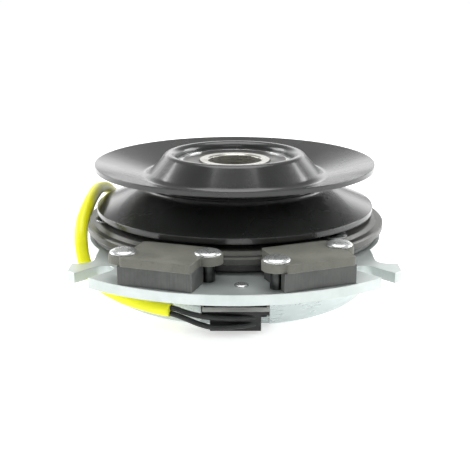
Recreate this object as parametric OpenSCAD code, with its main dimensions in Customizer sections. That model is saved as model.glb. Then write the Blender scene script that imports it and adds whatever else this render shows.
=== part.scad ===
// Electromagnetic clutch and brake for a vertical shaft, pulley side up.
// The origin is on the shaft axis at the hub's lower face; the lead leaves towards -Y.

/* [Shaft and bearings] */
// Bore for the driving shaft, through the hub, the spacer and the pulley bearing
bore_d = 28.575; // [27:0.025:28.6]
// Width of the keyway in the hub
keyway_w = 6.35; // [5:0.05:7]
// Outer diameter of the pulley bearing
pulley_bearing_d = 62; // [61.5:0.1:62]
// Width of the pulley bearing
pulley_bearing_w = 16; // [15:0.5:16]
// Outer diameter of the field bearing
field_bearing_d = 68; // [67.5:0.1:68]
// Width of the field bearing
field_bearing_w = 15; // [14:0.5:15]
// Bore of the field bearing
field_bearing_bore = 40; // [39:0.5:40]

/* [Pulley] */
// Diameter of the upper rim
upper_rim_d = 147.8; // [144:0.2:149]
// Diameter of the lower rim
lower_rim_d = 146.8; // [143:0.2:147]
// Height of the upper rim above the ground
upper_rim_z = 67.4; // [67:0.2:69]
// Height of the lower rim above the ground
lower_rim_z = 44.9; // [44.5:0.1:45.5]
// Thickness of the pulley's sheet
sheet_t = 2.6; // [2.2:0.1:2.6]
// Diameter of the groove's floor
groove_d = 97; // [96:0.5:98]

/* [Armature and rotor] */
// Diameter of the armature
armature_d = 158.4; // [157:0.2:158.6]
// Height of the armature's vertical side
armature_side = 3.8; // [3.4:0.1:4]
// Height of the armature's raised middle above its rim
armature_step = 1.9; // [1.4:0.1:2]
// Distance that the magnet pulls the armature
armature_travel = 0.5; // [0.3:0.05:0.5]
// Diameter of the rotor
rotor_d = 152; // [150:0.5:154]
// Thickness of the rotor's rim
rotor_rim = 2.9; // [2.5:0.1:2.9]

/* [Field] */
// Outer diameter of the field cup
cup_d = 143; // [142:0.5:144]
// Height of the mounting plate's underside
cup_h = 24; // [23.8:0.1:24.2]
// Thickness of the mounting plate
plate_t = 5; // [4.8:0.1:5]
// Diameter of the mounting plate at its sides and back
plate_side_d = 156; // [154:1:158]
// Diameter of the mounting plate's front lobe
lobe_d = 212.6; // [210:0.2:214]
// Half of the width across the two ears
ear_x = 78.4; // [77:0.2:80]
// Width of the anti-rotation slots
slot_w = 10; // [9:0.1:10.5]
// Angle of each slot from the front
slot_angle = 42; // [41:0.5:43]

/* [Brakes] */
// Height of the brake plates above the mounting plate
brake_h = 8.8; // [8.6:0.1:9]
// Thickness of a brake plate
brake_t = 4; // [3.5:0.1:4.2]
// Angle of the left brake from the front
brake_left = -19; // [-20:0.5:-18]
// Angle of the right brake from the front
brake_right = 22.5; // [21.5:0.5:23.5]

/* [Lead] */
// Diameter of the yellow sleeve
sleeve_d = 6.4; // [6:0.1:6.4]
// Diameter of each wire
wire_d = 2.6; // [2.2:0.1:2.6]
// Diameter of the stored coil at the middle of its turns
coil_d = 66; // [64:1:68]

/* [Hidden] */

$fn = 96;
bore_r = bore_d / 2;

// Heights, from the ground up
plate_z = cup_h;
plate_top = plate_z + plate_t;
brake_z = plate_top + brake_h;
brake_top = brake_z + brake_t;
rim_gap = 0.4;
armature_rim_z = brake_z - rim_gap;
armature_z = armature_rim_z - armature_side;
armature_top = armature_rim_z + armature_step;
rotor_top = armature_z - armature_travel - 0.3;
rotor_rim_z = rotor_top - rotor_rim;
rotor_inner_z = 27.5;
cup_floor = 4;
pulley_bearing_z = 52.2;
pulley_bearing_top = pulley_bearing_z + pulley_bearing_w;
hub_top = 40;

// Radii
cup_r = cup_d / 2;
cup_wall = 3.5;
core_r = 40.5;
core_in = field_bearing_d / 2;
hub_r = field_bearing_bore / 2;
hub_shoulder_r = 23;
armature_r = armature_d / 2;
armature_in = 44;
armature_raised_r = 75.2;
armature_rivet_r = 71;
arm_angles = [-165, -45, 75];
carrier_rivet_r = 53;
seat_r = pulley_bearing_d / 2;
seat_out = seat_r + sheet_t;
web_top = 58;
web_rivet_r = 41;
web_rivet_shank = 2;
slot_end_r = 93;
plate_rivet_at = [3, -92.5];
plate_rivet_shank = 2.4;
arm_rivet_shank = 2.4;
carrier_rivet_shank = 2.2;
lip_r = 28.6;

// Brake outline, seen from above: x runs along the plate, y outwards from the shaft axis
brake_centre = [-1.5, 91.2];
rivet_offset = [18.5, -5.3];
ear_r = 6.8;
head_r = 6.2;
shank_r = 2.6;
spacer_r = 2.9;
body_half = 17.2;
body_rear = 76.2;
body_front = 104.9;

// Lead: the routes are centre lines
boot_front = -79.5;
boot_bottom = 1.8;
boot_top = 11.3;
boot_back = -73.5;
upper_route = [[11.5, -77.6, 8.2], [5, -80.1, 8.4], [0, -81.5, 8.7], [-5, -82, 9], [-11, -81.9, 9.4],
               [-17, -80.6, 9.9], [-23, -78.6, 10.8], [-28, -76.6, 11.9], [-34, -74.1, 12.4]];
lower_route = [[11.5, -77.6, 4.8], [5, -80.1, 4.8], [0, -81.6, 4.8], [-5, -82.4, 4.8], [-11, -82.2, 4.8],
               [-17, -81, 6], [-23, -79, 7.8], [-28, -77, 9], [-34, -74.1, 9.6]];
sleeve_route = [[-30, -75.6, 10.7], [-36, -73.1, 11], [-43, -69.6, 11.5], [-50, -65.4, 12.2],
                [-57, -60.5, 13.2], [-63.5, -55.5, 15], [-69, -51.8, 18.2], [-72.8, -49.8, 23],
                [-74.6, -48.4, 29], [-75.8, -45.6, 35], [-76.4, -40.4, 40.4], [-76.2, -32.4, 44.8],
                [-75.4, -22.4, 47.8], [-75, -10.4, 49.6], [-74.8, 2, 50], [-74.4, 15, 49],
                [-73.4, 28, 46.4], [-72, 40, 41.8], [-70.2, 51, 35.4], [-68, 61, 27.6],
                [-64.8, 70, 19.4], [-60, 78, 12], [-52.6, 85, 6.4], [-42.6, 89.4, 3.8], [-30, 91, 3.4],
                [-15, 91, 3.4], [0, 91, 3.4]];
coil_centre = [0, 124];
coil_low = 3.4;
coil_rows = 2;
tail_z = coil_low + sleeve_d;
tail_route = [[0, 91, tail_z], [8, 91, 9.2], [16, 91.2, 7.8], [24, 92.4, 6.6], [31, 95.4, 6],
              [37, 100, 6]];
connector_size = [18, 26, 12];
connector_turn = -50;
connector_face = [37, 100];
connector_at = connector_face + connector_size[1] / 2 * [-sin(connector_turn), cos(connector_turn)];

// ---- general shapes ----

// Points of an arc about c from angle a to angle b
function arc(c, r, a, b, n = 8) =
    [for (i = [0 : n]) c + r * [cos(a + (b - a) * i / n), sin(a + (b - a) * i / n)]];

function unit(v) = v / norm(v);

// Left-hand normal of a path in the plane at point i
function path_normal(p, i) =
    let (a = p[max(i - 1, 0)], b = p[min(i + 1, len(p) - 1)], d = unit(b - a)) [-d[1], d[0]];

// Outline of a sheet of thickness t on the left-hand side of a path that starts at an upright rim
function sheet_outline(p, t) =
    let (start = path_normal(p, 0))
    concat(p, [for (i = [len(p) - 1 : -1 : 1]) p[i] + t * path_normal(p, i)], [p[0] + [0, t / start[1]]]);

module ring(r_out, r_in, h) {
    difference() {
        cylinder(r = r_out, h = h);
        translate([0, 0, -1]) cylinder(r = r_in, h = h + 2);
    }
}

// A ring whose outer edges are chamfered by c
module soft_ring(r_out, r_in, h, c) {
    rotate_extrude()
        polygon([[r_in, 0], [r_out - c, 0], [r_out, c], [r_out, h - c], [r_out - c, h], [r_in, h]]);
}

// Domed round head of radius r and height h
module dome_head(r, h) {
    rotate_extrude($fn = 48) polygon([[0, 0], [r, 0], [r, h * 0.3], [r * 0.93, h * 0.55], [r * 0.8, h * 0.78],
                                      [r * 0.6, h * 0.93], [r * 0.35, h], [0, h]]);
}

module place_brake(angle) {
    rotate([0, 0, 180 + angle]) mirror([1, 0, 0]) children();
}

// Both rivet positions of the brake at an angle, at height z
module at_brake_rivets(angle, z) {
    for (p = [brake_centre - rivet_offset, brake_centre + rivet_offset])
        place_brake(angle) translate([p[0], p[1], z]) children();
}

// A point on a smooth curve through the route, at t of the way from point i to point i + 1
function curve_point(r, i, t) =
    let (n = len(r) - 1, p0 = i == 0 ? 2 * r[0] - r[1] : r[i - 1], p1 = r[i], p2 = r[i + 1],
         p3 = i + 2 > n ? 2 * r[n] - r[n - 1] : r[i + 2])
    0.5 * (2 * p1 + (p2 - p0) * t + (2 * p0 - 5 * p1 + 4 * p2 - p3) * t * t
           + (3 * p1 - p0 - 3 * p2 + p3) * t * t * t);

function smooth_route(r, steps) =
    concat([for (i = [0 : len(r) - 2], s = [0 : steps - 1]) curve_point(r, i, s / steps)], [r[len(r) - 1]]);

// The corners of a ring of a tube at point i of a route
tube_reference = [0.6, 0.6, 0.53];
function tube_ring(p, i, r, sides) =
    let (d = unit(p[min(i + 1, len(p) - 1)] - p[max(i - 1, 0)]),
         u = unit(cross(tube_reference, d)), v = cross(d, u))
    [for (k = [0 : sides - 1]) p[i] + r * (cos(360 * k / sides) * u + sin(360 * k / sides) * v)];

module tube(route, d, sides, steps) {
    p = smooth_route(route, steps);
    n = len(p);
    corners = [for (i = [0 : n - 1]) each tube_ring(p, i, d / 2, sides)];
    walls = [for (i = [0 : n - 2], k = [0 : sides - 1])
        let (a = i * sides + k, b = i * sides + (k + 1) % sides)
        each [[a, a + sides, b + sides], [a, b + sides, b]]];
    first = [for (k = [0 : sides - 1]) k];
    last = [for (k = [sides - 1 : -1 : 0]) (n - 1) * sides + k];
    polyhedron(points = corners, faces = concat(walls, [first, last]), convexity = 6);
}

// ---- field ----

// Plan of the mounting plate: a round body, a front lobe clipped at the ears and two open slots
module plate_plan() {
    neck_x = 68.4;
    ear_rear = -60.4;
    neck_r = 6;
    difference() {
        union() {
            circle(d = plate_side_d);
            intersection() {
                circle(d = lobe_d, $fn = 180);
                translate([-ear_x, -lobe_d]) square([2 * ear_x, lobe_d + ear_rear]);
            }
            translate([-neck_x, -80]) square([2 * neck_x, 50]);
            for (s = [-1, 1]) difference() {
                translate([s * (neck_x + neck_r / 2), ear_rear + neck_r / 2 - 0.5])
                    square([neck_r, neck_r + 1], center = true);
                translate([s * (neck_x + neck_r), ear_rear + neck_r]) circle(r = neck_r, $fn = 48);
            }
        }
        for (s = [-1, 1]) rotate(s * slot_angle) {
            translate([0, -slot_end_r]) circle(d = slot_w, $fn = 48);
            translate([-slot_w / 2, -slot_end_r - 32]) square([slot_w, 32]);
        }
        circle(r = cup_r);
    }
}

module field_plate() {
    color([0.86, 0.88, 0.89]) difference() {
        translate([0, 0, plate_z]) linear_extrude(plate_t) plate_plan();
        for (a = [brake_left, brake_right]) at_brake_rivets(a, plate_z - 1)
            cylinder(r = shank_r, h = plate_t + 2, $fn = 48);
        translate([plate_rivet_at[0], plate_rivet_at[1], plate_z - 1])
            cylinder(r = plate_rivet_shank, h = plate_t + 2, $fn = 48);
    }
}

notch_left = -16;
notch_right = 16.6;

// Drawn shell with rounded lower corner, its front notched for the lead boot
module field_cup() {
    corner = 4.5;
    inner = cup_r - cup_wall;
    color([0.84, 0.86, 0.88]) difference() {
        rotate_extrude($fn = 160) polygon(concat(
            [[31, 0]],
            arc([cup_r - corner, corner], corner, -90, 0),
            [[cup_r, plate_top], [inner, plate_top]],
            arc([inner - 1.5, cup_floor + 1.5], 1.5, 0, -90, 4),
            [[31, cup_floor]]));
        translate([notch_left, -80, -1]) cube([notch_right - notch_left, 15, plate_z + 1]);
    }
}

// Inner pole with the seat of the field bearing
module field_core() {
    top = rotor_inner_z - 0.6;
    seat_top = cup_floor + field_bearing_w;
    lip_in = 31.5;
    color([0.45, 0.46, 0.48]) rotate_extrude() polygon([
        [core_in, cup_floor], [core_r, cup_floor], [core_r, top], [lip_in, top], [lip_in, seat_top],
        [core_in, seat_top]]);
}

bobbin_in = core_r + 0.2;
bobbin_out = 65.6;
bobbin_z = cup_floor + 0.2;
bobbin_top = 24;
bobbin_t = 1.2;

module coil_bobbin() {
    color([0.75, 0.72, 0.62]) rotate_extrude() polygon([[bobbin_in, bobbin_z], [bobbin_out, bobbin_z],
        [bobbin_out, bobbin_z + bobbin_t], [bobbin_in + bobbin_t, bobbin_z + bobbin_t],
        [bobbin_in + bobbin_t, bobbin_top - bobbin_t], [bobbin_out, bobbin_top - bobbin_t],
        [bobbin_out, bobbin_top], [bobbin_in, bobbin_top]]);
}

winding_out = 64.4;

module coil_winding() {
    color([0.62, 0.33, 0.16]) translate([0, 0, bobbin_z + bobbin_t])
        ring(winding_out, bobbin_in + bobbin_t, bobbin_top - bobbin_z - 2 * bobbin_t);
}

module coil_tape() {
    color([0.66, 0.6, 0.58]) translate([0, 0, bobbin_z + bobbin_t])
        ring(bobbin_out, winding_out, bobbin_top - bobbin_z - 2 * bobbin_t);
}

module coil_cover() {
    color([0.16, 0.16, 0.17]) translate([0, 0, bobbin_top]) ring(cup_r - cup_wall, bobbin_in, 2.2);
}

// Moulded block in the cup's notch, with a thin flange along its top; the wires leave its front face
// towards the left
module lead_boot() {
    flange_t = 1.5;
    block_in = -65.8;
    wall_bottom = 6.5;
    wall_top = 22.5;
    color([0.05, 0.05, 0.055]) difference() {
        union() {
            translate([-11.6, boot_front, boot_bottom])
                cube([24, block_in - boot_front, boot_top - boot_bottom]);
            translate([-15.2, boot_front, boot_top - flange_t])
                cube([31.4, boot_back - boot_front + 1, flange_t]);
            translate([-14.8, boot_back, wall_bottom]) cube([30, 5, wall_top - wall_bottom]);
        }
        translate([0, 0, -1]) cylinder(r = bobbin_out, h = 30);
    }
}

module plate_rivet() {
    color([0.9, 0.91, 0.92]) translate([plate_rivet_at[0], plate_rivet_at[1], 0]) {
        translate([0, 0, plate_z - 0.9]) cylinder(r = 3.6, h = 0.9, $fn = 48);
        translate([0, 0, plate_z]) cylinder(r = plate_rivet_shank, h = plate_t, $fn = 48);
        translate([0, 0, plate_top]) dome_head(3.3, 0.8);
    }
}

// ---- brakes ----

// Plan of a brake plate: a body with an ear at two opposite corners
module brake_plan() {
    c = brake_centre;
    o = rivet_offset;
    corner = 2;
    length = body_front - body_rear;
    translate([c[0] - body_half + corner, body_rear]) square([2 * (body_half - corner), length]);
    translate([c[0] - body_half, body_rear + corner]) square([2 * body_half, length - 2 * corner]);
    for (x = [-1, 1], y = [body_rear + corner, body_front - corner])
        translate([c[0] + x * (body_half - corner), y]) circle(r = corner, $fn = 32);
    for (s = [-1, 1]) {
        translate([c[0] + s * o[0], c[1] + s * o[1]]) circle(r = ear_r, $fn = 48);
        translate([c[0] + s * (o[0] - 5), c[1] + s * o[1]]) square([10, 2 * ear_r], center = true);
    }
}

module brake_plate(angle) {
    color([0.42, 0.41, 0.37]) difference() {
        place_brake(angle) translate([0, 0, brake_z]) linear_extrude(brake_t) brake_plan();
        at_brake_rivets(angle, brake_z - 1) cylinder(r = shank_r, h = brake_t + 2, $fn = 48);
    }
}

holder_rear = 82.4;
magnet_size = [24, 13];
magnet_y = 96;

// Housing under a brake plate, with a pocket for the magnet
module magnet_holder(angle) {
    c = brake_centre;
    o = rivet_offset;
    half = 17.8;
    shift = -0.3;
    color([0.3, 0.31, 0.32]) place_brake(angle) difference() {
        translate([c[0] + shift - half, holder_rear, plate_top])
            cube([2 * half, body_front - holder_rear - 0.6, brake_h]);
        for (s = [-1, 1]) translate([c[0] + s * o[0], c[1] + s * o[1], plate_top - 1])
            cylinder(r = 4, h = brake_h + 2, $fn = 48);
        translate([c[0], magnet_y, plate_top + brake_h / 2])
            cube([magnet_size[0], magnet_size[1], brake_h + 2], center = true);
    }
}

module brake_magnets() {
    for (a = [brake_left, brake_right]) color([0.22, 0.22, 0.23]) place_brake(a)
        translate([brake_centre[0], magnet_y, plate_top + brake_h / 2])
            cube([magnet_size[0], magnet_size[1], brake_h], center = true);
}

module brake_spacers() {
    for (a = [brake_left, brake_right]) color([0.7, 0.7, 0.7])
        at_brake_rivets(a, plate_top) ring(spacer_r, shank_r - 0.6, brake_h, $fn = 48);
}

module brake_rivets() {
    neck = shank_r - 0.6;
    for (a = [brake_left, brake_right]) color([0.9, 0.91, 0.92]) at_brake_rivets(a, 0) {
        translate([0, 0, plate_z - 1.2]) cylinder(r = 4.4, h = 1.2, $fn = 48);
        translate([0, 0, plate_z]) cylinder(r = shank_r, h = plate_t, $fn = 48);
        translate([0, 0, plate_top]) cylinder(r = neck, h = brake_h, $fn = 48);
        translate([0, 0, brake_z]) cylinder(r = shank_r, h = brake_t, $fn = 48);
        translate([0, 0, brake_top]) dome_head(head_r, 1.9);
    }
}

// ---- bearings ----

// Inner race: bore radius a, outer radius b, ball groove of radius g about the pitch radius p
module inner_race(a, b, w, p, g) {
    half = acos((p - b) / g);
    rotate_extrude() polygon(concat([[a, 0.8], [a + 0.8, 0], [b, 0]],
        arc([p, w / 2], g, 180 + half, 180 - half, 10), [[b, w], [a + 0.8, w], [a, w - 0.8]]));
}

// Outer race: inner radius a, outer radius b
module outer_race(a, b, w, p, g) {
    half = acos((a - p) / g);
    rotate_extrude() polygon(concat([[a, 0], [b - 0.8, 0], [b, 0.8], [b, w - 0.8], [b - 0.8, w], [a, w]],
        arc([p, w / 2], g, half, -half, 10)));
}

module balls(p, r, count) {
    for (i = [0 : count - 1]) rotate([0, 0, 360 * i / count]) translate([p, 0, 0]) sphere(r = r, $fn = 24);
}

module cage(p, r, count, h) {
    difference() {
        translate([0, 0, -h / 2]) ring(p + 1.5, p - 1.5, h);
        balls(p, r + 0.1, count);
    }
}

// The two shields of a bearing of width w
module shields(a, b, w) {
    for (z = [0.7, w - 1.5]) translate([0, 0, z]) ring(b, a, 0.8);
}

pulley_pitch = 23;
pulley_ball = 4.7;
pulley_race_in = 18.64;
pulley_race_out = 27.4;
pulley_balls = 9;
field_pitch = 27;
field_ball = 3.9;
field_race_in = 24;
field_race_out = 30;
field_balls = 12;
ball_play = 0.08;

module field_bearing_outer() {
    color([0.72, 0.73, 0.75]) translate([0, 0, cup_floor])
        outer_race(field_race_out, core_in, field_bearing_w, field_pitch, field_ball + ball_play);
}

module field_bearing_shields() {
    color([0.45, 0.46, 0.48]) translate([0, 0, cup_floor])
        shields(field_race_in + 0.5, field_race_out, field_bearing_w);
}

module field_bearing_inner() {
    color([0.72, 0.73, 0.75]) translate([0, 0, cup_floor])
        inner_race(hub_r, field_race_in, field_bearing_w, field_pitch, field_ball + ball_play);
}

module field_bearing_balls() {
    color([0.8, 0.8, 0.82]) translate([0, 0, cup_floor + field_bearing_w / 2])
        balls(field_pitch, field_ball, field_balls);
}

module field_bearing_cage() {
    color([0.6, 0.6, 0.58]) translate([0, 0, cup_floor + field_bearing_w / 2])
        cage(field_pitch, field_ball, field_balls, 6);
}

module pulley_bearing_outer() {
    color([0.72, 0.73, 0.75]) translate([0, 0, pulley_bearing_z])
        outer_race(pulley_race_out, seat_r, pulley_bearing_w, pulley_pitch, pulley_ball + ball_play);
}

module pulley_bearing_shields() {
    color([0.4, 0.4, 0.41]) translate([0, 0, pulley_bearing_z])
        shields(pulley_race_in + 0.5, pulley_race_out, pulley_bearing_w);
}

module pulley_bearing_inner() {
    color([0.78, 0.79, 0.8]) translate([0, 0, pulley_bearing_z])
        inner_race(bore_r, pulley_race_in, pulley_bearing_w, pulley_pitch, pulley_ball + ball_play);
}

module pulley_bearing_balls() {
    color([0.8, 0.8, 0.82]) translate([0, 0, pulley_bearing_z + pulley_bearing_w / 2])
        balls(pulley_pitch, pulley_ball, pulley_balls);
}

module pulley_bearing_cage() {
    color([0.6, 0.6, 0.58]) translate([0, 0, pulley_bearing_z + pulley_bearing_w / 2])
        cage(pulley_pitch, pulley_ball, pulley_balls, 7);
}

// ---- rotor ----

snap_z = 2.3;
snap_t = cup_floor - snap_z;
snap_groove_r = 18.8;

friction_t = 1.6;
friction_out = 66;
friction_in = 59.5;
rotor_drum_r = 66.4;

module rotor_hub() {
    shoulder_z = cup_floor + field_bearing_w;
    top_r = 20.4;
    key_depth = 3.1;
    color([0.5, 0.51, 0.52]) difference() {
        rotate_extrude() polygon([[bore_r, 0], [hub_r - 0.6, 0], [hub_r, 0.6], [hub_r, snap_z],
            [snap_groove_r, snap_z], [snap_groove_r, cup_floor], [hub_r, cup_floor], [hub_r, shoulder_z],
            [hub_shoulder_r, shoulder_z],
            [hub_shoulder_r, rotor_top], [top_r, rotor_top], [top_r, hub_top], [bore_r, hub_top]]);
        translate([-keyway_w / 2, 0, -1]) cube([keyway_w, bore_r + key_depth, hub_top + 2]);
    }
}

// Disc that faces the armature, with a ring of curved slots through it
module rotor_disc() {
    slot_r = 55;
    slot_half = 1.6;
    slots = 6;
    bridge = 10;
    color([0.4, 0.41, 0.42]) difference() {
        rotate_extrude($fn = 160) polygon([[hub_shoulder_r, rotor_inner_z], [rotor_drum_r, rotor_inner_z],
            [rotor_drum_r, rotor_rim_z], [rotor_d / 2, rotor_rim_z], [rotor_d / 2, rotor_top],
            [hub_shoulder_r, rotor_top]]);
        for (i = [0 : slots - 1]) rotate([0, 0, 360 * i / slots]) translate([0, 0, rotor_inner_z - 1])
            rotate_extrude(angle = 360 / slots - bridge)
                translate([slot_r - slot_half, 0]) square([2 * slot_half, 9]);
        translate([0, 0, rotor_top - friction_t]) ring(friction_out, friction_in, friction_t + 1);
    }
}

module friction_ring() {
    color([0.25, 0.22, 0.19]) translate([0, 0, rotor_top - friction_t])
        ring(friction_out, friction_in, friction_t);
}

module hub_snap_ring() {
    color([0.3, 0.3, 0.31]) translate([0, 0, snap_z]) difference() {
        ring(22.2, snap_groove_r, snap_t);
        translate([-4, -30, -1]) cube([8, 30, snap_t + 2]);
    }
}

module spacer_sleeve() {
    color([0.6, 0.61, 0.62]) translate([0, 0, hub_top])
        soft_ring(pulley_race_in - 0.2, bore_r, pulley_bearing_z - hub_top, 0.4);
}

// ---- pulley ----

hub_wall_lean = 41.4;
flange_rise = 15.5;
crest_z = 71.8;
fillet_r = 5;
crest_in_r = 3.6;
crest_out_r = 3.4;
crest_out_c = [35, crest_z - crest_out_r];
crest_in_c = [seat_r + crest_in_r, crest_z - crest_in_r];

// Upper face of the pulley's upper half, from the rim inwards, then down the bearing seat
upper_fillet_c = let (s = [50, upper_rim_z - (upper_rim_d / 2 - 50) * tan(flange_rise)])
    s + fillet_r * [-sin(flange_rise), cos(flange_rise)];
upper_path = concat([[upper_rim_d / 2, upper_rim_z]],
    arc(upper_fillet_c, fillet_r, -90 + flange_rise, -180 + hub_wall_lean, 12),
    arc(crest_out_c, crest_out_r, hub_wall_lean, 90, 10),
    arc(crest_in_c, crest_in_r, 90, 180, 10),
    [[seat_r, pulley_bearing_z]]);

module pulley_upper() {
    lip_z = pulley_bearing_z - 1.8;
    color([0.05, 0.05, 0.055]) rotate_extrude($fn = 180) union() {
        polygon(sheet_outline(upper_path, sheet_t));
        polygon([[lip_r, lip_z], [seat_out, lip_z], [seat_out, pulley_bearing_z + 1],
            [seat_r, pulley_bearing_z + 1], [seat_r, pulley_bearing_z], [lip_r, pulley_bearing_z]]);
    }
}

lower_slope = 22;
groove_r = groove_d / 2;
lower_bend_r = 3;
web_bend_r = 1.5;

// Upper face of the pulley's lower half, from the rim up to the groove's floor, then in along the web
lower_bend_c = let (s = [groove_r + 2.4, lower_rim_z + (lower_rim_d / 2 - groove_r - 2.4) * tan(lower_slope)])
    s + lower_bend_r * [sin(lower_slope), cos(lower_slope)];
lower_path = concat([[lower_rim_d / 2, lower_rim_z]],
    arc(lower_bend_c, lower_bend_r, -90 - lower_slope, -170, 6),
    arc([groove_r - web_bend_r, web_top - web_bend_r], web_bend_r, 10, 90, 6),
    [[seat_out, web_top]]);

module pulley_lower() {
    color([0.05, 0.05, 0.055]) difference() {
        rotate_extrude($fn = 180) polygon(sheet_outline(lower_path, sheet_t));
        for (a = [0 : 60 : 300]) rotate([0, 0, a]) translate([web_rivet_r, 0, web_top - 6])
            cylinder(r = web_rivet_shank, h = 9, $fn = 48);
    }
}

carrier_z = armature_top + 2.3;
carrier_t = 2.4;
carrier_r = 61;
carrier_wall_r = 36.4;
web_z = web_top - sheet_t;

// Stamped carrier that joins the leaf spring to the pulley's web
module spring_carrier() {
    top_z = web_z - carrier_t;
    pad_r = 44;
    color([0.3, 0.31, 0.32]) difference() {
        rotate_extrude() polygon([[carrier_wall_r, carrier_z], [carrier_r, carrier_z],
            [carrier_r, carrier_z + carrier_t], [carrier_wall_r + carrier_t, carrier_z + carrier_t],
            [carrier_wall_r + carrier_t, top_z], [pad_r, top_z], [pad_r, web_z], [seat_out + 0.2, web_z],
            [seat_out + 0.2, top_z], [carrier_wall_r, top_z]]);
        for (a = [0 : 60 : 300]) rotate([0, 0, a]) translate([web_rivet_r, 0, web_z - 4])
            cylinder(r = web_rivet_shank, h = 9, $fn = 48);
        for (a = arm_angles) rotate([0, 0, a + 60]) translate([carrier_rivet_r, 0, carrier_z - 1])
            cylinder(r = carrier_rivet_shank, h = carrier_t + 2, $fn = 48);
    }
}

module web_rivets() {
    color([0.55, 0.55, 0.56]) for (a = [0 : 60 : 300]) rotate([0, 0, a]) translate([web_rivet_r, 0, 0]) {
        translate([0, 0, web_z - carrier_t - 1.2]) cylinder(r = web_rivet_shank + 0.2, h = 1.2, $fn = 48);
        translate([0, 0, web_z - carrier_t]) cylinder(r = web_rivet_shank, h = sheet_t + carrier_t, $fn = 48);
        translate([0, 0, web_top]) dome_head(web_rivet_shank + 0.2, 0.8);
    }
}

spring_t = 0.8;
spring_z = carrier_z - spring_t;

// Leaf spring: a ring under the carrier and three arms that step down to the armature
module leaf_spring() {
    arm_w = 15;
    arm_root = 55;
    arm_end = 77;
    arm_round_r = armature_rivet_r - 3.6;
    bend_in = 61.5;
    bend_out = 65.5;
    color([0.32, 0.33, 0.34]) difference() {
        union() {
            translate([0, 0, spring_z]) ring(59, 46, spring_t);
            for (a = arm_angles) rotate([0, 0, a]) intersection() {
                translate([0, arm_w / 2, 0]) rotate([90, 0, 0]) linear_extrude(arm_w)
                    polygon([[arm_root, spring_z], [bend_in, spring_z], [bend_out, armature_top],
                        [arm_end, armature_top], [arm_end, armature_top + spring_t],
                        [bend_out, armature_top + spring_t], [bend_in, spring_z + spring_t],
                        [arm_root, spring_z + spring_t]]);
                union() {
                    translate([arm_round_r, 0, armature_top - 1]) cylinder(r = arm_w / 2, h = 6, $fn = 64);
                    translate([50, -arm_w / 2, armature_top - 1]) cube([arm_round_r - 50, arm_w, 6]);
                }
            }
        }
        for (a = arm_angles) {
            rotate([0, 0, a]) translate([armature_rivet_r, 0, armature_top - 1])
                cylinder(r = arm_rivet_shank, h = 6, $fn = 48);
            rotate([0, 0, a + 60]) translate([carrier_rivet_r, 0, armature_top])
                cylinder(r = carrier_rivet_shank, h = 6, $fn = 48);
        }
    }
}

module carrier_rivets() {
    color([0.6, 0.6, 0.61]) for (a = arm_angles) rotate([0, 0, a + 60]) translate([carrier_rivet_r, 0, 0]) {
        translate([0, 0, spring_z - 0.7]) cylinder(r = 3.4, h = 0.7, $fn = 48);
        translate([0, 0, spring_z]) cylinder(r = carrier_rivet_shank, h = spring_t + carrier_t, $fn = 48);
        translate([0, 0, carrier_z + carrier_t]) dome_head(3.6, 1.3);
    }
}

// ---- armature ----

module armature_plate() {
    color([0.3, 0.31, 0.31]) difference() {
        rotate_extrude($fn = 180) polygon([[armature_in, armature_z], [armature_r - 0.4, armature_z],
            [armature_r, armature_z + 0.4], [armature_r, armature_rim_z - 0.7],
            [armature_r - 0.7, armature_rim_z], [armature_raised_r + 0.2, armature_rim_z],
            [armature_raised_r - 1.4, armature_top - 0.3],
            [armature_raised_r - 2.2, armature_top], [armature_in, armature_top]]);
        for (a = arm_angles) rotate([0, 0, a]) translate([armature_rivet_r, 0, armature_z - 1])
            cylinder(r = arm_rivet_shank, h = 9, $fn = 48);
    }
}

module armature_rivets() {
    color([0.7, 0.71, 0.72]) for (a = arm_angles) rotate([0, 0, a]) translate([armature_rivet_r, 0, 0]) {
        translate([0, 0, armature_z + 0.2])
            cylinder(r = arm_rivet_shank, h = armature_top + spring_t - armature_z - 0.2, $fn = 48);
        translate([0, 0, armature_top + spring_t]) dome_head(4.2, 1.4);
    }
}

// ---- lead ----

module wire_upper() {
    color([0.03, 0.03, 0.03]) tube(upper_route, wire_d, 8, 2);
}

module wire_lower() {
    color([0.03, 0.03, 0.03]) tube(lower_route, wire_d, 8, 2);
}

module sleeve_run() {
    color([0.95, 0.9, 0.1]) difference() {
        tube(sleeve_route, sleeve_d, 12, 2);
        tube(upper_route, wire_d + 0.1, 8, 2);
        tube(lower_route, wire_d + 0.1, 8, 2);
    }
}

// The stored turns, one on the other
module sleeve_coil() {
    r = sleeve_d / 2;
    color([0.95, 0.9, 0.1]) translate([coil_centre[0], coil_centre[1], coil_low]) rotate_extrude()
        polygon([for (p = concat(arc([0, 0], r, -180, 0), arc([0, sleeve_d * (coil_rows - 1)], r, 0, 180)))
            [coil_d / 2 + p[0], p[1]]]);
}

module tail_wires() {
    color([0.03, 0.03, 0.03]) tube(tail_route, wire_d * 2, 8, 2);
}

module at_connector() {
    translate([connector_at[0], connector_at[1], 0]) rotate([0, 0, connector_turn]) children();
}

// Two-way connector housing, lying beside the coil
module lead_connector() {
    s = connector_size;
    color([0.06, 0.06, 0.065]) at_connector() difference() {
        translate([-s[0] / 2, -s[1] / 2, 0]) cube(s);
        for (x = [-4, 4]) translate([x - 2.2, s[1] / 2 - 12, s[2] / 2 - 2.2]) cube([4.4, 14, 4.4]);
    }
}

module connector_lock() {
    s = connector_size;
    color([0.06, 0.06, 0.065]) at_connector() translate([-3, -2, s[2]]) {
        cube([6, 14, 1.6]);
        translate([0, 11, 1.6]) cube([6, 3, 1]);
    }
}

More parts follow.
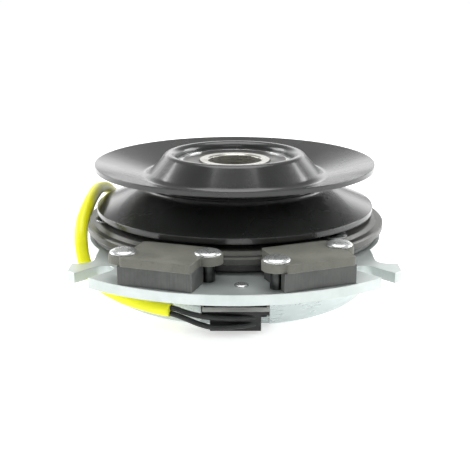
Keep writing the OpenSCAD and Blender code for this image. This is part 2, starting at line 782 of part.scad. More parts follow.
module coil_tie() {
    r = sleeve_d / 2;
    w = 5;
    h = sleeve_d * coil_rows + 1.2;
    x = coil_centre[0] - coil_d / 2;
    color([0.02, 0.02, 0.02]) translate([x, coil_centre[1] - w / 2, coil_low - r]) difference() {
        translate([-r - 1.4, 0, 0]) cube([2 * r + 2.8, w, h + 0.8]);
        translate([-r - 0.2, -1, -1]) cube([2 * r + 0.4, w + 2, h + 0.2]);
    }
}

field_plate();
field_cup();
field_core();
coil_bobbin();
coil_winding();
coil_tape();
coil_cover();
lead_boot();
plate_rivet();
brake_plate(brake_left);  // brake_plate_left
brake_plate(brake_right);  // brake_plate_right
magnet_holder(brake_left);  // magnet_holder_left
magnet_holder(brake_right);  // magnet_holder_right
brake_magnets();
brake_spacers();
brake_rivets();
field_bearing_outer();
field_bearing_shields();
field_bearing_cage();
field_bearing_balls();
field_bearing_inner();
rotor_hub();
rotor_disc();
friction_ring();
hub_snap_ring();
spacer_sleeve();
pulley_bearing_inner();
pulley_bearing_cage();
pulley_bearing_balls();
pulley_bearing_outer();
pulley_bearing_shields();
pulley_upper();
pulley_lower();
spring_carrier();
carrier_rivets();
web_rivets();
armature_plate();
leaf_spring();
armature_rivets();
wire_upper();
wire_lower();
sleeve_run();
sleeve_coil();
tail_wires();
lead_connector();
connector_lock();
coil_tie();
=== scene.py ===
"""Looks of the electromagnetic clutch: camera, lead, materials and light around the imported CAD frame."""
import math

import bpy
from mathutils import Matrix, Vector


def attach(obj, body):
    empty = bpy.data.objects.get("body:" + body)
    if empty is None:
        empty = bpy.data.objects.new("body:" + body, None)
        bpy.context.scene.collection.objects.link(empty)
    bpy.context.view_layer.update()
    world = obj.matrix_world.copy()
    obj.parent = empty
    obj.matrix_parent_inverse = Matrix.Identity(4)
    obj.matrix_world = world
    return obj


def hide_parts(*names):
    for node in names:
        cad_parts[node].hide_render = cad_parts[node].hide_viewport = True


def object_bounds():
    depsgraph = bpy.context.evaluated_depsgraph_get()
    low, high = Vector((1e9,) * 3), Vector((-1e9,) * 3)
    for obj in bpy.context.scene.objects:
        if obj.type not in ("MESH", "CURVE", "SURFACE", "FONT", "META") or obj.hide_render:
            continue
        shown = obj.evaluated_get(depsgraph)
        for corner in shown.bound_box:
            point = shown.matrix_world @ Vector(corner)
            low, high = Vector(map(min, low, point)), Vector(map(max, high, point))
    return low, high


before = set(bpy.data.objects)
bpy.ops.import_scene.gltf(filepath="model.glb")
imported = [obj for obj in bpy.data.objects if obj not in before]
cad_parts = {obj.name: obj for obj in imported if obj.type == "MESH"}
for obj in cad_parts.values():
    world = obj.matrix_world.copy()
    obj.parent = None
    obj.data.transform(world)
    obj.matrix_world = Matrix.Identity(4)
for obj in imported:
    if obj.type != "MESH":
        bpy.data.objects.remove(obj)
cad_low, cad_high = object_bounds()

scene = bpy.context.scene
scene.view_settings.view_transform = "Standard"
scene.view_settings.look = "None"
MM = 0.001

# ---------------------------------------------------------------- camera
CAMERA_AT = Vector((0, -0.4843, 0.1633))
LOOKS_AT = Vector((0, 0, 0.028))
camera_data = bpy.data.cameras.new("camera")
camera_data.sensor_width = 36
camera_data.lens = 70.8
camera_data.shift_x = 0.0007
camera_data.shift_y = -0.0074
camera_data.clip_start = 0.01
camera_data.clip_end = 50
camera = bpy.data.objects.new("camera", camera_data)
camera.location = CAMERA_AT
camera.rotation_euler = (LOOKS_AT - CAMERA_AT).to_track_quat("-Z", "Y").to_euler()
scene.collection.objects.link(camera)
scene.camera = camera

# ---------------------------------------------------------------- routes of the lead, in millimetres
SLEEVE_D = 6.4
WIRE_D = 2.6
COIL_CENTRE = (0, 124)
COIL_R = 33
COIL_LOW = 3.4
UPPER_ROUTE = [(11.5, -77.6, 8.2), (5, -80.1, 8.4), (0, -81.5, 8.7), (-5, -82, 9), (-11, -81.9, 9.4),
               (-17, -80.6, 9.9), (-23, -78.6, 10.8), (-28, -76.6, 11.9), (-34, -74.1, 12.4)]
LOWER_ROUTE = [(11.5, -77.6, 4.8), (5, -80.1, 4.8), (0, -81.6, 4.8), (-5, -82.4, 4.8), (-11, -82.2, 4.8),
               (-17, -81, 6), (-23, -79, 7.8), (-28, -77, 9), (-34, -74.1, 9.6)]
SLEEVE_ROUTE = [(-30, -75.6, 10.7), (-36, -73.1, 11), (-43, -69.6, 11.5), (-50, -65.4, 12.2),
                (-57, -60.5, 13.2), (-63.5, -55.5, 15), (-69, -51.8, 18.2), (-72.8, -49.8, 23),
                (-74.6, -48.4, 29), (-75.8, -45.6, 35), (-76.4, -40.4, 40.4), (-76.2, -32.4, 44.8),
                (-75.4, -22.4, 47.8), (-75, -10.4, 49.6), (-74.8, 2, 50), (-74.4, 15, 49),
                (-73.4, 28, 46.4), (-72, 40, 41.8), (-70.2, 51, 35.4), (-68, 61, 27.6),
                (-64.8, 70, 19.4), (-60, 78, 12), (-52.6, 85, 6.4), (-42.6, 89.4, 3.8), (-30, 91, 3.4),
                (-15, 91, 3.4), (0, 91, 3.4)]
TAIL_ROUTE = [(0, 91, 9.8), (8, 91, 9.2), (16, 91.2, 7.8), (24, 92.4, 6.6), (31, 95.4, 6), (37, 100, 6)]


ROUTE_STEPS = 8
SLEEVE_SIDES = 28
WIRE_SIDES = 18


def curve_through(route, steps):
    """Points of a smooth curve through the route, in metres."""
    points = [Vector(p) for p in route]
    ends = [2 * points[0] - points[1]] + points + [2 * points[-1] - points[-2]]
    out = []
    for i in range(len(points) - 1):
        a, b, c, d = ends[i:i + 4]
        for s in range(steps):
            t = s / steps
            out.append(0.5 * (2 * b + (c - a) * t + (2 * a - 5 * b + 4 * c - d) * t ** 2
                              + (3 * b - a - 3 * c + d) * t ** 3) * MM)
    return out + [points[-1] * MM]


def ramp_between(x, low, high):
    """0 before low, 1 after high, smooth between them."""
    t = min(1.0, max(0.0, (x - low) / (high - low)))
    return t * t * (3 - 2 * t)


FIRST_UP = Vector((0.6, 0.6, 0.53)).normalized()


def tube_mesh(name, points, radius_at, sides):
    """A tube round the points; radius_at(share along, angle) gives its radius there."""
    up = FIRST_UP.copy()
    count = len(points)
    vertices, faces = [], []
    for i, p in enumerate(points):
        d = (points[min(i + 1, count - 1)] - points[max(i - 1, 0)]).normalized()
        up = (up - d * up.dot(d)).normalized()
        for k in range(sides):
            a = 2 * math.pi * k / sides
            r = radius_at(i / (count - 1), a)
            vertices.append(p + r * (math.cos(a) * up + math.sin(a) * d.cross(up)))
    for i in range(count - 1):
        for k in range(sides):
            n = (k + 1) % sides
            faces.append((i * sides + k, i * sides + n, (i + 1) * sides + n, (i + 1) * sides + k))
    faces.append(tuple(range(sides - 1, -1, -1)))
    faces.append(tuple((count - 1) * sides + k for k in range(sides)))
    mesh = bpy.data.meshes.new(name)
    mesh.from_pydata(vertices, [], faces)
    mesh.polygons.foreach_set("use_smooth", [len(f) == 4 for f in faces])
    mesh.update()
    piece = bpy.data.objects.new(name, mesh)
    scene.collection.objects.link(piece)
    return piece


# The coil: one loop that climbs in its second half, to end on top of its own start
LOOP_STEPS = 72
CLIMB_FROM, CLIMB_TO = 0.62, 0.9
loop = []
for step in range(1, LOOP_STEPS + 1):
    share = step / LOOP_STEPS
    angle = math.radians(-90) + 2 * math.pi * share
    z = COIL_LOW + SLEEVE_D * ramp_between(share, CLIMB_FROM, CLIMB_TO)
    x, y = COIL_CENTRE[0] + COIL_R * math.cos(angle), COIL_CENTRE[1] + COIL_R * math.sin(angle)
    loop.append(Vector((x, y, z)) * MM)
sleeve_line = curve_through(SLEEVE_ROUTE, ROUTE_STEPS) + loop


# Shares of the sleeve's length where it bends most, and how far each bend reaches
BENDS = (0.12, 0.155, 0.19, 0.225)
BEND_WIDTH = 0.02


def sleeve_radius(share, angle):
    """A soft tube: slightly oval, with slow waves and small creases where it bends most."""
    wave = 0.02 * math.sin(97 * share + 1.3 * math.cos(angle)) + 0.012 * math.sin(211 * share + 2 * angle)
    bend = sum(math.exp(-((share - at) / BEND_WIDTH) ** 2) for at in BENDS)
    crease = -0.045 * bend * max(0.0, math.sin(620 * share)) ** 6 * (0.6 + 0.4 * math.cos(angle))
    return SLEEVE_D / 2 * MM * (1 + 0.015 * math.cos(2 * angle) + wave + crease)


sleeve = tube_mesh("sleeve", sleeve_line, sleeve_radius, SLEEVE_SIDES)


def wire_radius(share, angle):
    return WIRE_D / 2 * MM


wire_upper_line = curve_through(UPPER_ROUTE, ROUTE_STEPS)
wire_lower_line = curve_through(LOWER_ROUTE, ROUTE_STEPS)
upper_wire = tube_mesh("upper_wire", wire_upper_line, wire_radius, WIRE_SIDES)
lower_wire = tube_mesh("lower_wire", wire_lower_line, wire_radius, WIRE_SIDES)
tail_line = curve_through(TAIL_ROUTE, ROUTE_STEPS)


def beside(points, offset):
    """The line moved sideways by offset, level with the ground."""
    out = []
    for i, p in enumerate(points):
        d = (points[min(i + 1, len(points) - 1)] - points[max(i - 1, 0)]).normalized()
        out.append(p + Vector((-d.y, d.x, 0)).normalized() * offset)
    return out


TAIL_APART = 1.32 * MM
tail_left_line = beside(tail_line, TAIL_APART)
tail_right_line = beside(tail_line, -TAIL_APART)
tail_left = tube_mesh("tail_left", tail_left_line, wire_radius, WIRE_SIDES)
tail_right = tube_mesh("tail_right", tail_right_line, wire_radius, WIRE_SIDES)

for piece in (sleeve, upper_wire, lower_wire, tail_left, tail_right):
    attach(piece, "field")
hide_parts("sleeve_run", "sleeve_coil")
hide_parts("wire_upper")
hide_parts("wire_lower")
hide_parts("tail_wires")

# The tie: a band round the loop with its head on the outside
TIE_T = 1.1
TIE_SIDES = 28
TIE_HALF = 2.4
TIE_CHAMFER = 0.4
TIE_AT = 0.75
band, band_faces = [], []
tie_centre = Vector((COIL_CENTRE[0] - COIL_R, COIL_CENTRE[1], 0)) * MM
tie_z = (COIL_LOW + SLEEVE_D * ramp_between(TIE_AT, CLIMB_FROM, CLIMB_TO)) * MM
for y, proud in ((-TIE_HALF, TIE_T - TIE_CHAMFER), (TIE_CHAMFER - TIE_HALF, TIE_T),
                 (TIE_HALF - TIE_CHAMFER, TIE_T), (TIE_HALF, TIE_T - TIE_CHAMFER)):
    for k in range(TIE_SIDES):
        a = 2 * math.pi * k / TIE_SIDES
        r = (SLEEVE_D / 2 + proud) * MM
        band.append(tie_centre + Vector((r * math.cos(a), y * MM, tie_z + r * math.sin(a))))
for row in range(3):
    for k in range(TIE_SIDES):
        n = (k + 1) % TIE_SIDES
        near, far = row * TIE_SIDES, (row + 1) * TIE_SIDES
        band_faces.append((near + k, near + n, far + n, far + k))
band_faces.append(tuple(range(TIE_SIDES)))
band_faces.append(tuple(3 * TIE_SIDES + k for k in range(TIE_SIDES - 1, -1, -1)))
head_low = Vector((-SLEEVE_D / 2 - 3.6, -3.2, -2.4)) * MM
head_high = Vector((-SLEEVE_D / 2 - 0.4, 3.2, 2.4)) * MM
corner = len(band)
for x in (head_low.x, head_high.x):
    for y in (head_low.y, head_high.y):
        for z in (head_low.z, head_high.z):
            band.append(tie_centre + Vector((x, y, tie_z + z)))
for quad in ((0, 1, 3, 2), (4, 6, 7, 5), (0, 4, 5, 1), (2, 3, 7, 6), (0, 2, 6, 4), (1, 5, 7, 3)):
    band_faces.append(tuple(corner + q for q in quad))
tie_mesh = bpy.data.meshes.new("tie")
tie_mesh.from_pydata(band, [], band_faces)
tie_mesh.update()
tie = bpy.data.objects.new("tie", tie_mesh)
scene.collection.objects.link(tie)
tie_bevel = tie.modifiers.new("bevel", "BEVEL")
tie_bevel.width = 0.35 * MM
tie_bevel.segments = 2
tie_bevel.limit_method = "ANGLE"
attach(tie, "field")
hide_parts("coil_tie")


# ---------------------------------------------------------------- materials
class Nodes:
    """Builds one material's node tree; values are sockets or numbers."""

    def __init__(self, name):
        self.material = bpy.data.materials.new(name)
        self.material.use_nodes = True
        self.tree = self.material.node_tree
        self.shader = self.tree.nodes["Principled BSDF"]
        self.place = self.new("ShaderNodeTexCoord").outputs["Object"]

    def new(self, kind, **settings):
        made = self.tree.nodes.new(kind)
        for key, value in settings.items():
            setattr(made, key, value)
        return made

    def put(self, socket, value):
        if isinstance(value, bpy.types.NodeSocket):
            self.tree.links.new(value, socket)
        else:
            socket.default_value = value

    def math(self, operation, a, b=0.0):
        made = self.new("ShaderNodeMath", operation=operation)
        self.put(made.inputs[0], a)
        self.put(made.inputs[1], b)
        return made.outputs[0]

    def noise(self, scale, detail=3.0, rough=0.5, stretch=(1, 1, 1), at=None, distort=0.0):
        mapping = self.new("ShaderNodeMapping")
        mapping.inputs["Scale"].default_value = stretch
        self.put(mapping.inputs["Vector"], at if at is not None else self.place)
        made = self.new("ShaderNodeTexNoise")
        self.put(made.inputs["Vector"], mapping.outputs[0])
        made.inputs["Scale"].default_value = scale
        made.inputs["Detail"].default_value = detail
        made.inputs["Roughness"].default_value = rough
        made.inputs["Distortion"].default_value = distort
        return made.outputs["Fac"]

    def around(self):
        """Radius, angle and height about the shaft axis as a vector, in metres and radians."""
        split = self.new("ShaderNodeSeparateXYZ")
        self.put(split.inputs[0], self.place)
        x, y, z = split.outputs
        radius = self.math("SQRT", self.math("ADD", self.math("MULTIPLY", x, x), self.math("MULTIPLY", y, y)))
        turn = self.math("ARCTAN2", y, x)
        joined = self.new("ShaderNodeCombineXYZ")
        self.put(joined.inputs[0], radius)
        self.put(joined.inputs[1], turn)
        self.put(joined.inputs[2], z)
        return joined.outputs[0]

    def between(self, value, low, high, out_low=0.0, out_high=1.0):
        made = self.new("ShaderNodeMapRange", clamp=True)
        self.put(made.inputs["Value"], value)
        made.inputs["From Min"].default_value = low
        made.inputs["From Max"].default_value = high
        made.inputs["To Min"].default_value = out_low
        made.inputs["To Max"].default_value = out_high
        return made.outputs["Result"]

    def mix(self, factor, a, b, mode="MIX"):
        made = self.new("ShaderNodeMix", data_type="RGBA", blend_type=mode, clamp_factor=True)
        self.put(made.inputs[0], factor)
        self.put(made.inputs[6], a if isinstance(a, bpy.types.NodeSocket) else (*a, 1))
        self.put(made.inputs[7], b if isinstance(b, bpy.types.NodeSocket) else (*b, 1))
        return made.outputs[2]

    def edges(self, radius):
        """About 1 along sharp outer edges, and the rounded normal that goes with them."""
        bevel = self.new("ShaderNodeBevel", samples=6)
        bevel.inputs["Radius"].default_value = radius
        geometry = self.new("ShaderNodeNewGeometry")
        dot = self.new("ShaderNodeVectorMath", operation="DOT_PRODUCT")
        self.put(dot.inputs[0], bevel.outputs[0])
        self.put(dot.inputs[1], geometry.outputs["Normal"])
        return self.between(dot.outputs["Value"], 0.985, 0.8), bevel.outputs[0]

    def bump(self, height, strength, distance, normal=None):
        made = self.new("ShaderNodeBump")
        made.inputs["Strength"].default_value = strength
        made.inputs["Distance"].default_value = distance
        self.put(made.inputs["Height"], height)
        if normal is not None:
            self.put(made.inputs["Normal"], normal)
        return made.outputs[0]

    def finish(self, colour, roughness, normal, metallic=0.0, coat=0.0, coat_roughness=0.1, specular=0.5):
        s = self.shader.inputs
        self.put(s["Base Color"], colour)
        self.put(s["Roughness"], roughness)
        if normal is not None:
            self.put(s["Normal"], normal)
        s["Metallic"].default_value = metallic
        s["Coat Weight"].default_value = coat
        s["Coat Roughness"].default_value = coat_roughness
        s["Specular IOR Level"].default_value = specular
        return self.material


def painted_sheet():
    """Thick gloss black over pressed sheet: faint flow in the gloss and a worn edge whose lighter line is
    partly a painted edge highlight.
    """
    n = Nodes("gloss_black_sheet")
    cloud = n.noise(38, 4)
    fine = n.noise(1400, 2)
    flow = n.noise(9, 3, 0.5)
    edge, soft = n.edges(0.9 * MM)
    colour = n.mix(n.between(cloud, 0.35, 0.7), (0.0155, 0.0172, 0.0158), (0.026, 0.0285, 0.0262))
    # Lighter edges: partly paint wear, partly a painted highlight for the thin light line along the rims
    edge_wear_and_highlight = n.math("MULTIPLY", edge, n.between(n.noise(160, 3), 0.35, 0.6, 0.35, 1.0))
    colour = n.mix(n.math("MULTIPLY", edge_wear_and_highlight, 0.2), colour, (0.20, 0.205, 0.20))
    rough = n.math("ADD", n.between(cloud, 0.3, 0.7, 0.20, 0.27), n.between(flow, 0.4, 0.7, 0.0, 0.04))
    height = n.math("ADD", n.math("MULTIPLY", flow, 0.8), n.math("MULTIPLY", fine, 0.05))
    return n.finish(colour, rough, n.bump(height, 0.03, 0.25 * MM, soft), coat=0.3, coat_roughness=0.1)


def phosphated(name, dark, light, metallic=0.35, rough=(0.48, 0.62), grain=0.25,
               edge_light=(0.36, 0.36, 0.34)):
    """Grey-brown conversion coat on steel: blotches, a fine dark grain and rubbed edges, their paler colour
    partly a painted edge highlight.
    """
    n = Nodes(name)
    blotch = n.noise(75, 5, 0.6)
    fine = n.noise(2600, 2, 0.6)
    spots = n.noise(420, 2, 0.5)
    edge, soft = n.edges(0.45 * MM)
    colour = n.mix(n.between(blotch, 0.32, 0.68), dark, light)
    colour = n.mix(n.between(spots, 0.62, 0.75, 0.0, 0.35), colour, tuple(0.55 * c for c in dark))
    colour = n.mix(n.between(fine, 0.45, 0.8, 0.0, 0.3), colour, tuple(min(1, 1.5 * c) for c in light))
    # Paler edges: partly rubbed wear, partly a painted highlight along the edges
    edge_wear_and_highlight = n.math("MULTIPLY", edge, n.between(n.noise(240, 3), 0.35, 0.65, 0.2, 0.85))
    colour = n.mix(edge_wear_and_highlight, colour, edge_light)
    roughness = n.between(blotch, 0.3, 0.7, rough[0], rough[1])
    return n.finish(colour, roughness, n.bump(fine, grain, 0.1 * MM, soft), metallic=metallic)


def zinc(name, dark, light, rough, brushed=(1, 1, 1), metallic=0.85, grain=0.12):
    """Bright zinc: cloudy passivation, fine rolling lines and small scuffs."""
    n = Nodes(name)
    cloud = n.noise(48, 5, 0.6)
    lines = n.noise(700, 3, 0.6, stretch=brushed)
    scuff = n.noise(130, 6, 0.7, distort=0.6)
    edge, soft = n.edges(0.5 * MM)
    colour = n.mix(n.between(cloud, 0.3, 0.7), dark, light)
    colour = n.mix(n.between(scuff, 0.6, 0.72, 0.0, 0.18), colour, tuple(0.72 * c for c in dark))
    colour = n.mix(n.math("MULTIPLY", edge, 0.5), colour, (0.93, 0.95, 0.94))
    roughness = n.math("ADD", n.between(cloud, 0.3, 0.7, rough[0], rough[1]),
                       n.between(lines, 0.4, 0.7, 0.0, 0.08))
    return n.finish(colour, roughness, n.bump(lines, grain, 0.06 * MM, soft), metallic=metallic)


def turned_steel(name, dark, light, rough, rings=2600, metallic=1.0, strength=0.15):
    """Turned or ground steel: fine rings about the shaft axis and faint stains."""
    n = Nodes(name)
    place = n.around()
    ring = n.noise(1.0, 2, 0.6, stretch=(rings, 0.5, rings), at=place)
    stain = n.noise(90, 4, 0.6)
    edge, soft = n.edges(0.3 * MM)
    colour = n.mix(n.between(ring, 0.3, 0.7), dark, light)
    colour = n.mix(n.between(stain, 0.58, 0.75, 0.0, 0.4), colour, tuple(0.6 * c for c in dark))
    colour = n.mix(n.math("MULTIPLY", edge, 0.5), colour, (0.9, 0.9, 0.88))
    roughness = n.math("ADD", n.between(stain, 0.3, 0.7, rough[0], rough[1]),
                       n.between(ring, 0.4, 0.7, 0.0, 0.06))
    return n.finish(colour, roughness, n.bump(ring, strength, 0.04 * MM, soft), metallic=metallic)


def moulded(name, dark, light, rough, grain_scale=1500, grain=0.2, edge_light=(0.16, 0.16, 0.16), top=None):
    """Moulded plastic or rubber: fine texture, pale rubbed corners and, given a top colour, a painted
    reflection of the bright room on the faces that point up.
    """
    n = Nodes(name)
    cloud = n.noise(110, 4, 0.55)
    fine = n.noise(grain_scale, 2, 0.5)
    edge, soft = n.edges(0.4 * MM)
    colour = n.mix(n.between(cloud, 0.3, 0.7), dark, light)
    colour = n.mix(n.math("MULTIPLY", edge, n.between(n.noise(300, 2), 0.35, 0.6, 0.1, 0.7)), colour,
                   edge_light)
    # Painted reflection: faces that point up take the pale top colour, standing in for the bright room
    # reflected in a glossy top
    if top is not None:
        facing = n.new("ShaderNodeSeparateXYZ")
        n.put(facing.inputs[0], n.new("ShaderNodeNewGeometry").outputs["Normal"])
        painted_top_reflection = n.math("MULTIPLY", n.between(facing.outputs[2], 0.7, 0.95),
                      n.between(cloud, 0.25, 0.6, 0.75, 1.0))
        colour = n.mix(painted_top_reflection, colour, top)
    roughness = n.between(cloud, 0.3, 0.7, rough[0], rough[1])
    return n.finish(colour, roughness, n.bump(fine, grain, 0.08 * MM, soft))


def magnet_block():
    """Dark sintered block: cloudy tone, upright saw lines and pale rubbed edges."""
    n = Nodes("magnet_block")
    saw = n.noise(1.0, 3, 0.6, stretch=(1500, 1500, 60))
    cloud = n.noise(120, 5, 0.6)
    edge, soft = n.edges(0.35 * MM)
    colour = n.mix(n.between(cloud, 0.3, 0.7), (0.060, 0.063, 0.061), (0.110, 0.116, 0.110))
    colour = n.mix(n.between(saw, 0.5, 0.75, 0.0, 0.45), colour, (0.038, 0.040, 0.038))
    colour = n.mix(n.math("MULTIPLY", edge, n.between(cloud, 0.35, 0.6, 0.2, 0.8)), colour,
                   (0.32, 0.33, 0.32))
    return n.finish(colour, n.between(cloud, 0.3, 0.7, 0.42, 0.6), n.bump(saw, 0.18, 0.08 * MM, soft),
                    metallic=0.25)


def yellow_sleeve():
    """Soft vinyl sleeve: even bright yellow, faint rub marks, small creases and a greasy sheen."""
    n = Nodes("yellow_sleeve")
    cloud = n.noise(90, 4, 0.55)
    rub = n.noise(700, 5, 0.7, distort=0.8)
    fine = n.noise(1800, 2)
    colour = n.mix(n.between(cloud, 0.3, 0.7), (0.88, 0.88, 0.003), (1.0, 1.0, 0.008))
    colour = n.mix(n.between(rub, 0.62, 0.78, 0.0, 0.4), colour, (0.50, 0.48, 0.02))
    height = n.math("ADD", n.math("MULTIPLY", cloud, 0.8), n.math("MULTIPLY", fine, 0.12))
    made = n.finish(colour, n.between(cloud, 0.3, 0.7, 0.30, 0.44), n.bump(height, 0.35, 0.4 * MM))
    n.shader.inputs["Subsurface Weight"].default_value = 0.12
    n.shader.inputs["Subsurface Radius"].default_value = (1.0, 0.9, 0.1)
    n.shader.inputs["Subsurface Scale"].default_value = 1.0 * MM
    return made


def black_wire():
    n = Nodes("black_wire")
    cloud = n.noise(260, 4, 0.6)
    scratch = n.noise(900, 4, 0.7, distort=1.0)
    colour = n.mix(n.between(cloud, 0.3, 0.7), (0.008, 0.0085, 0.009), (0.020, 0.021, 0.021))
    colour = n.mix(n.between(scratch, 0.64, 0.78, 0.0, 0.5), colour, (0.09, 0.09, 0.085))
    return n.finish(colour, n.between(cloud, 0.3, 0.7, 0.34, 0.5), n.bump(scratch, 0.12, 0.08 * MM))


def winding():
    """Layers of lacquered copper wire: one fine rib for each turn."""
    n = Nodes("copper_winding")
    wave = n.new("ShaderNodeTexWave", wave_type="BANDS", bands_direction="Z")
    wave.inputs["Scale"].default_value = 500
    wave.inputs["Distortion"].default_value = 0.4
    n.put(wave.inputs["Vector"], n.place)
    cloud = n.noise(140, 3)
    colour = n.mix(wave.outputs["Fac"], (0.20, 0.07, 0.02), (0.60, 0.27, 0.10))
    colour = n.mix(n.between(cloud, 0.4, 0.7, 0.0, 0.4), colour, (0.35, 0.13, 0.04))
    ribs = n.bump(wave.outputs["Fac"], 0.6, 0.3 * MM)
    return n.finish(colour, n.between(cloud, 0.3, 0.7, 0.22, 0.34), ribs, metallic=0.8)


GLOSS = painted_sheet()
ARMATURE = phosphated("armature_steel", (0.046, 0.048, 0.042), (0.094, 0.095, 0.086), metallic=0.4,
                      rough=(0.30, 0.44), grain=0.22, edge_light=(0.42, 0.42, 0.40))
BRAKE = phosphated("brake_steel", (0.110, 0.113, 0.094), (0.165, 0.166, 0.141), metallic=0.15,
                   rough=(0.52, 0.68), grain=0.3, edge_light=(0.36, 0.36, 0.31))
ROTOR = phosphated("rotor_steel", (0.05, 0.051, 0.05), (0.10, 0.10, 0.098), metallic=0.6, rough=(0.35, 0.5))
POLE = phosphated("pole_steel", (0.10, 0.10, 0.105), (0.19, 0.19, 0.2), metallic=0.7, rough=(0.35, 0.5))
SPACER = turned_steel("spacer_steel", (0.030, 0.033, 0.031), (0.065, 0.07, 0.066), (0.3, 0.42), rings=400)
CARRIER = phosphated("carrier_steel", (0.07, 0.072, 0.075), (0.14, 0.142, 0.146), metallic=0.7,
                     rough=(0.3, 0.45))
SPRING = turned_steel("spring_steel", (0.17, 0.175, 0.18), (0.34, 0.345, 0.35), (0.22, 0.34), rings=500)
PLATE = zinc("zinc_plate", (0.49, 0.55, 0.53), (0.64, 0.69, 0.68), (0.28, 0.40), brushed=(0.05, 1.6, 1.6),
             metallic=0.55)
CUP = zinc("zinc_cup", (0.50, 0.56, 0.55), (0.60, 0.655, 0.65), (0.22, 0.32), brushed=(0.15, 0.15, 2.0),
           metallic=0.7, grain=0.04)
RIVET = zinc("zinc_rivet", (0.56, 0.58, 0.57), (0.76, 0.78, 0.77), (0.22, 0.30), metallic=0.85, grain=0.02)
BRIGHT = turned_steel("bright_ring", (0.36, 0.355, 0.32), (0.52, 0.515, 0.47), (0.22, 0.32),
                      metallic=0.8)
SHIELD = turned_steel("bearing_shield", (0.07, 0.07, 0.067), (0.14, 0.14, 0.133), (0.26, 0.38), rings=1500,
                      strength=0.25)
RACE = turned_steel("bearing_race", (0.50, 0.51, 0.51), (0.68, 0.69, 0.69), (0.14, 0.24))
BORE = turned_steel("bored_steel", (0.30, 0.29, 0.26), (0.52, 0.50, 0.46), (0.20, 0.30), rings=1800)
CAGE = turned_steel("cage_steel", (0.42, 0.41, 0.38), (0.58, 0.57, 0.54), (0.28, 0.38), rings=700)
SNAP = phosphated("snap_ring_steel", (0.05, 0.05, 0.052), (0.11, 0.11, 0.11), metallic=0.7)
# The boot's pale top colour is a painted reflection on its glossy upward faces, not dust
BOOT = moulded("moulded_boot", (0.005, 0.0055, 0.0055), (0.012, 0.0125, 0.012), (0.40, 0.52),
               edge_light=(0.05, 0.05, 0.05), top=(0.95, 0.90, 0.88))
CONNECTOR = moulded("moulded_connector", (0.018, 0.018, 0.019), (0.035, 0.035, 0.036), (0.3, 0.42))
TIE = moulded("tie_nylon", (0.012, 0.012, 0.012), (0.028, 0.028, 0.028), (0.28, 0.4), grain=0.1)
BOBBIN = moulded("bobbin_nylon", (0.50, 0.47, 0.38), (0.66, 0.62, 0.52), (0.4, 0.55),
                 edge_light=(0.75, 0.72, 0.64))
TAPE = moulded("coil_tape", (0.36, 0.30, 0.28), (0.50, 0.43, 0.41), (0.35, 0.5), grain_scale=500, grain=0.4)
POTTING = moulded("potting_resin", (0.018, 0.018, 0.02), (0.04, 0.04, 0.042), (0.25, 0.4), grain=0.1)
FRICTION = moulded("friction_lining", (0.10, 0.075, 0.055), (0.20, 0.16, 0.12), (0.75, 0.9), grain_scale=900,
                   grain=0.6)
WIRE = black_wire()
SLEEVE = yellow_sleeve()
COPPER = winding()
BLOCK = magnet_block()

LOOKS = {
    "field_plate": PLATE, "field_cup": CUP, "field_core": POLE, "coil_bobbin": BOBBIN, "coil_winding": COPPER,
    "coil_tape": TAPE, "coil_cover": POTTING, "lead_boot": BOOT, "plate_rivet": RIVET,
    "brake_plate_left": BRAKE, "brake_plate_right": BRAKE, "magnet_holder_left": BLOCK,
    "magnet_holder_right": BLOCK,
    "brake_magnets": BLOCK, "brake_spacers": SPACER, "brake_rivets": RIVET, "field_bearing_outer": RACE,
    "field_bearing_shields": SHIELD, "field_bearing_cage": CAGE, "field_bearing_balls": BRIGHT,
    "field_bearing_inner": RACE, "rotor_hub": BORE, "rotor_disc": ROTOR, "friction_ring": FRICTION,
    "hub_snap_ring": SNAP, "spacer_sleeve": BORE, "pulley_bearing_inner": BRIGHT, "pulley_bearing_cage": CAGE,
    "pulley_bearing_balls": BRIGHT, "pulley_bearing_outer": RACE, "pulley_bearing_shields": SHIELD,
    "pulley_upper": GLOSS, "pulley_lower": GLOSS, "spring_carrier": CARRIER, "carrier_rivets": RACE,
    "web_rivets": RACE, "armature_plate": ARMATURE, "leaf_spring": SPRING, "armature_rivets": SPACER,
    "lead_connector": CONNECTOR, "connector_lock": CONNECTOR,
}


def paint(piece, material):
    slots = piece.material_slots
    if not len(slots):
        piece.data.materials.append(material)
    for s in slots:
        s.material = material


for name, material in LOOKS.items():
    paint(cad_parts[name], material)
for piece, material in ((sleeve, SLEEVE), (upper_wire, WIRE), (lower_wire, WIRE), (tail_left, WIRE),
                        (tail_right, WIRE), (tie, TIE)):
    paint(piece, material)

# ---------------------------------------------------------------- studio
FLOOR_SIZE = 24.0
floor_mesh = bpy.data.meshes.new("floor")
half = FLOOR_SIZE / 2
FLOOR_GAP = 0.2 * MM
floor_z = cad_low.z - FLOOR_GAP
corners = [(-half, -half, floor_z), (half, -half, floor_z), (half, half, floor_z), (-half, half, floor_z)]
floor_mesh.from_pydata(corners, [], [(0, 1, 2, 3)])
floor = bpy.data.objects.new("floor", floor_mesh)
scene.collection.objects.link(floor)
paper = bpy.data.materials.new("paper")
paper.use_nodes = True
paper_shader = paper.node_tree.nodes["Principled BSDF"]
paper_shader.inputs["Base Color"].default_value = (0.9, 0.9, 0.9, 1)
paper_shader.inputs["Roughness"].default_value = 0.9
paper_shader.inputs["Specular IOR Level"].default_value = 0.1
paper_shader.inputs["Emission Color"].default_value = (1, 1, 1, 1)
paper_shader.inputs["Emission Strength"].default_value = 0.56
floor_mesh.materials.append(paper)

world = bpy.data.worlds.new("studio")
scene.world = world
world.use_nodes = True
tree = world.node_tree
background = tree.nodes["Background"]
coordinates = tree.nodes.new("ShaderNodeTexCoord")
parts = tree.nodes.new("ShaderNodeSeparateXYZ")
tree.links.new(coordinates.outputs["Generated"], parts.inputs[0])


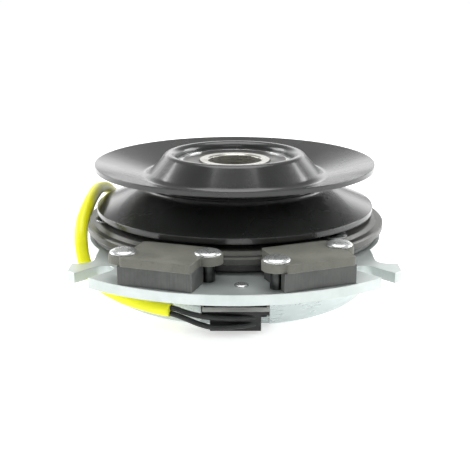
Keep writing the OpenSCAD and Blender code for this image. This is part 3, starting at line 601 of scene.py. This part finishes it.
def world_ramp(socket, low, high, at_low, at_high):
    made = tree.nodes.new("ShaderNodeMapRange")
    made.interpolation_type = "SMOOTHSTEP"
    made.inputs["From Min"].default_value = low
    made.inputs["From Max"].default_value = high
    made.inputs["To Min"].default_value = at_low
    made.inputs["To Max"].default_value = at_high
    tree.links.new(socket, made.inputs["Value"])
    return made.outputs["Result"]


# Dim in front, brighter behind, and brightest in a low belt behind the object
room = world_ramp(parts.outputs["Y"], -0.75, 0.25, 0.33, 0.46)
behind = world_ramp(parts.outputs["Y"], 0.0, 0.8, 0.0, 2.0)
low_down = world_ramp(parts.outputs["Z"], 0.22, 0.46, 1.0, 0.0)
above_floor = world_ramp(parts.outputs["Z"], 0.05, 0.22, 0.0, 0.95)
glow = tree.nodes.new("ShaderNodeMath")
glow.operation = "MULTIPLY"
tree.links.new(behind, glow.inputs[0])
tree.links.new(low_down, glow.inputs[1])
low_glow = tree.nodes.new("ShaderNodeMath")
low_glow.operation = "MULTIPLY"
tree.links.new(glow.outputs[0], low_glow.inputs[0])
tree.links.new(above_floor, low_glow.inputs[1])
total = tree.nodes.new("ShaderNodeMath")
total.operation = "ADD"
tree.links.new(room, total.inputs[0])
tree.links.new(low_glow.outputs[0], total.inputs[1])
tree.links.new(total.outputs[0], background.inputs["Strength"])
background.inputs["Color"].default_value = (1, 1, 1, 1)


def softbox(name, at, aim, size, power):
    """A flat light of the given width and height that faces aim."""
    data = bpy.data.lights.new(name, "AREA")
    data.shape = "RECTANGLE"
    data.size, data.size_y = size
    data.energy = power
    light = bpy.data.objects.new(name, data)
    light.location = at
    light.rotation_euler = (Vector(aim) - Vector(at)).to_track_quat("-Z", "Y").to_euler()
    scene.collection.objects.link(light)


softbox("left_box", (-1.0, 0.25, 0.45), (0, 0, 0.05), (0.7, 0.5), 8)
softbox("right_box", (1.0, 0.25, 0.45), (0, 0, 0.05), (0.7, 0.5), 8)
softbox("top_box", (0, 0.1, 1.1), (0, 0, 0.03), (0.9, 0.9), 8)
softbox("front_box", (0.1, -1.1, 0.85), (0, 0, 0.03), (0.8, 0.35), 1.5)
